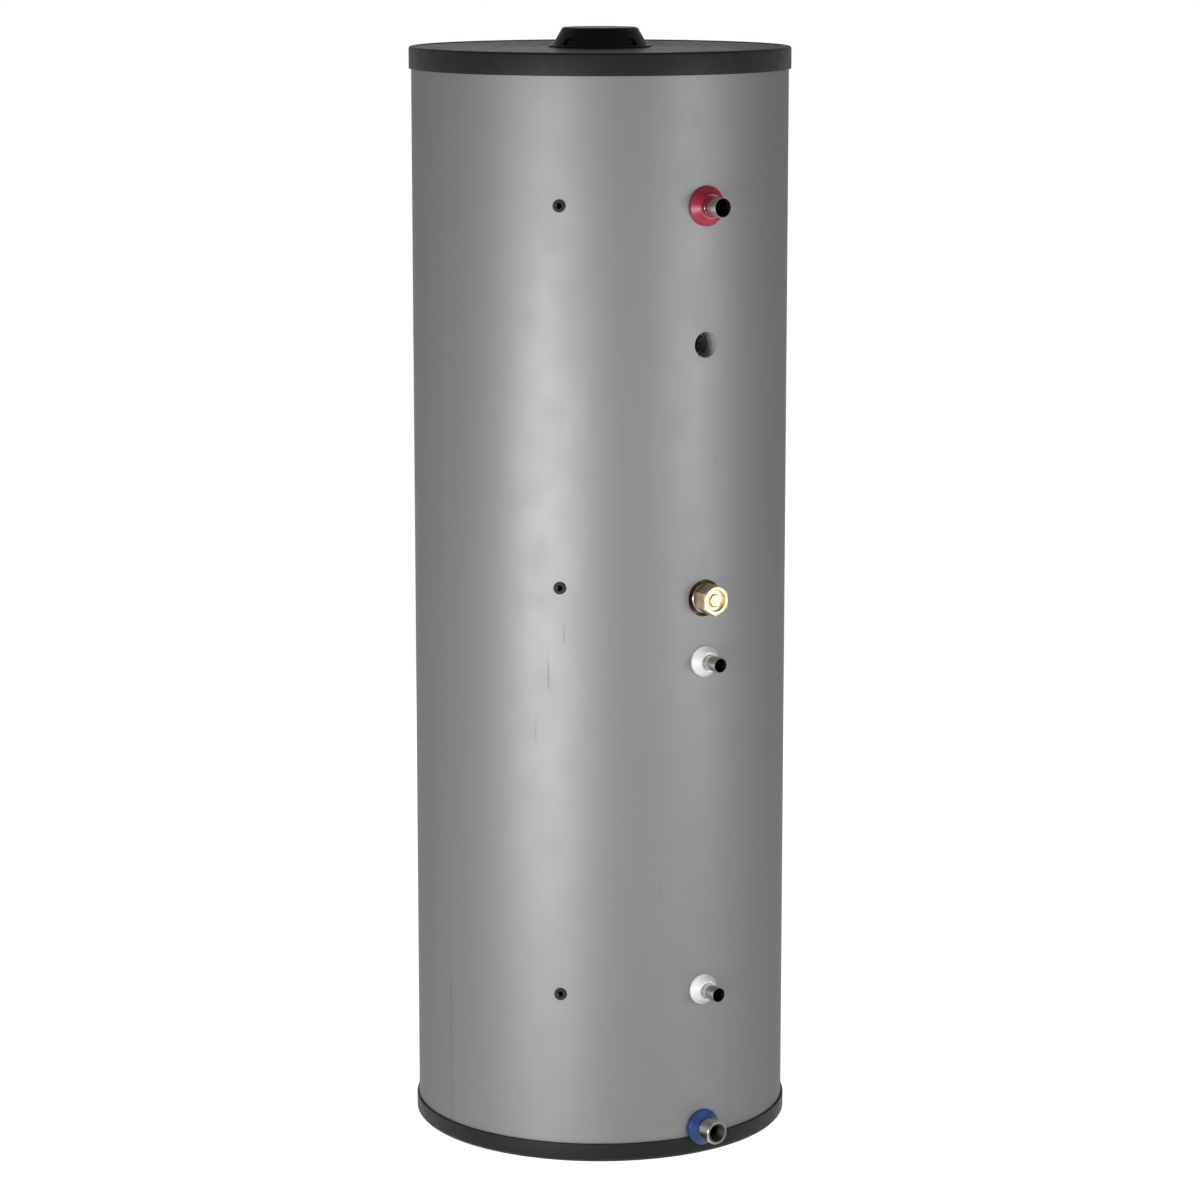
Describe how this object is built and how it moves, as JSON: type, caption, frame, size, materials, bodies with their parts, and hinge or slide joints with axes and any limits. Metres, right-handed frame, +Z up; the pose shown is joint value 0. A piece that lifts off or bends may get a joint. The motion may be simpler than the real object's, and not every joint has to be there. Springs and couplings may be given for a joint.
{
  "type": "tank water heater",
  "caption": "Tall insulated hot water cylinder with an internal heating coil, immersion heater, pipe stubs, sensor pockets, painted jacket and black end covers.",
  "frame": {"origin": "on the floor at the cylinder's axis, at the centre of the base pan's flat underside", "axes": "+Z up along the cylinder's axis; -Y towards the column of pipe connections"},
  "size_m": [0.557, 0.5945, 1.63],
  "materials": {
    "black_cover": "moulded black plastic with a fine satin grain",
    "black_cap": "moulded black plastic",
    "grey_jacket": "satin silver-grey coated sheet steel",
    "foam": "rigid insulation foam, moulded skin",
    "vessel_steel": "pickled stainless steel",
    "stub_steel": "bright stainless tube",
    "boss_steel": "machined stainless steel",
    "gasket": "red-brown fibre ring",
    "brass": "machined brass",
    "element_steel": "dull sheathed element",
    "black_rubber": "moulded rubber",
    "red_collar": "moulded crimson plastic",
    "blue_collar": "moulded blue plastic",
    "white_collar": "moulded white plastic"
  },
  "bodies": {
    "tank": {"base_pan": "black_cover", "top_cover": "black_cover", "outer_jacket": "grey_jacket", "insulation": "foam", "foam_bung": "black_cap", "vessel_shell": "vessel_steel", "vessel_top_dome": "vessel_steel", "vessel_bottom_dome": "vessel_steel", "support_ring": "vessel_steel", "hot_outlet_stub": "stub_steel", "cold_inlet_stub": "stub_steel", "coil_flow_stub": "stub_steel", "coil_return_stub": "stub_steel", "hot_draw_off_pipe": "vessel_steel", "cold_feed_pipe": "vessel_steel", "inlet_diffuser": "vessel_steel", "coil_flow_bend": "vessel_steel", "coil_return_bend": "vessel_steel", "heating_coil": "vessel_steel", "coil_support_bars": "vessel_steel", "relief_port_boss": "boss_steel", "heater_boss": "boss_steel", "upper_sensor_pocket": "stub_steel", "middle_sensor_pocket": "stub_steel", "lower_sensor_pocket": "stub_steel", "upper_pocket_grommet": "black_rubber", "middle_pocket_grommet": "black_rubber", "lower_pocket_grommet": "black_rubber", "cold_collar": "blue_collar"},
    "top_cap": {"top_cap": "black_cap"},
    "hot_collar": {"hot_collar": "red_collar"},
    "coil_flow_collar": {"coil_flow_collar": "white_collar"},
    "coil_return_collar": {"coil_return_collar": "white_collar"},
    "heater_gasket": {"heater_gasket": "gasket"},
    "immersion_heater": {"heater_head": "brass", "heater_elements": "element_steel", "heater_thermostat_pocket": "brass"}
  },
  "joints": [
    {"name": "top_cap_lift", "type": "slide", "parent": "tank", "child": "top_cap", "axis": [0, 0, 1], "range_m": [0, 0.06]},
    {"name": "hot_collar_slide", "type": "slide", "parent": "tank", "child": "hot_collar", "axis": [0, -1, 0], "range_m": [0, 0.05]},
    {"name": "coil_flow_collar_slide", "type": "slide", "parent": "tank", "child": "coil_flow_collar", "axis": [0, -1, 0], "range_m": [0, 0.05]},
    {"name": "coil_return_collar_slide", "type": "slide", "parent": "tank", "child": "coil_return_collar", "axis": [0, -1, 0], "range_m": [0, 0.05]},
    {"name": "heater_gasket_slide", "type": "slide", "parent": "tank", "child": "heater_gasket", "axis": [0, -1, 0], "range_m": [0, 0.016]},
    {"name": "heater_turn", "type": "hinge", "parent": "heater_gasket", "child": "immersion_heater", "pos_m": [0, -0.279, 0.828], "axis": [0, -1, 0], "range_deg": [0, 2490]}
  ],
  "couplings": [
    {"joint": "heater_gasket_slide", "follows": "heater_turn", "m_per_rad": 0.0003675}
  ]
}
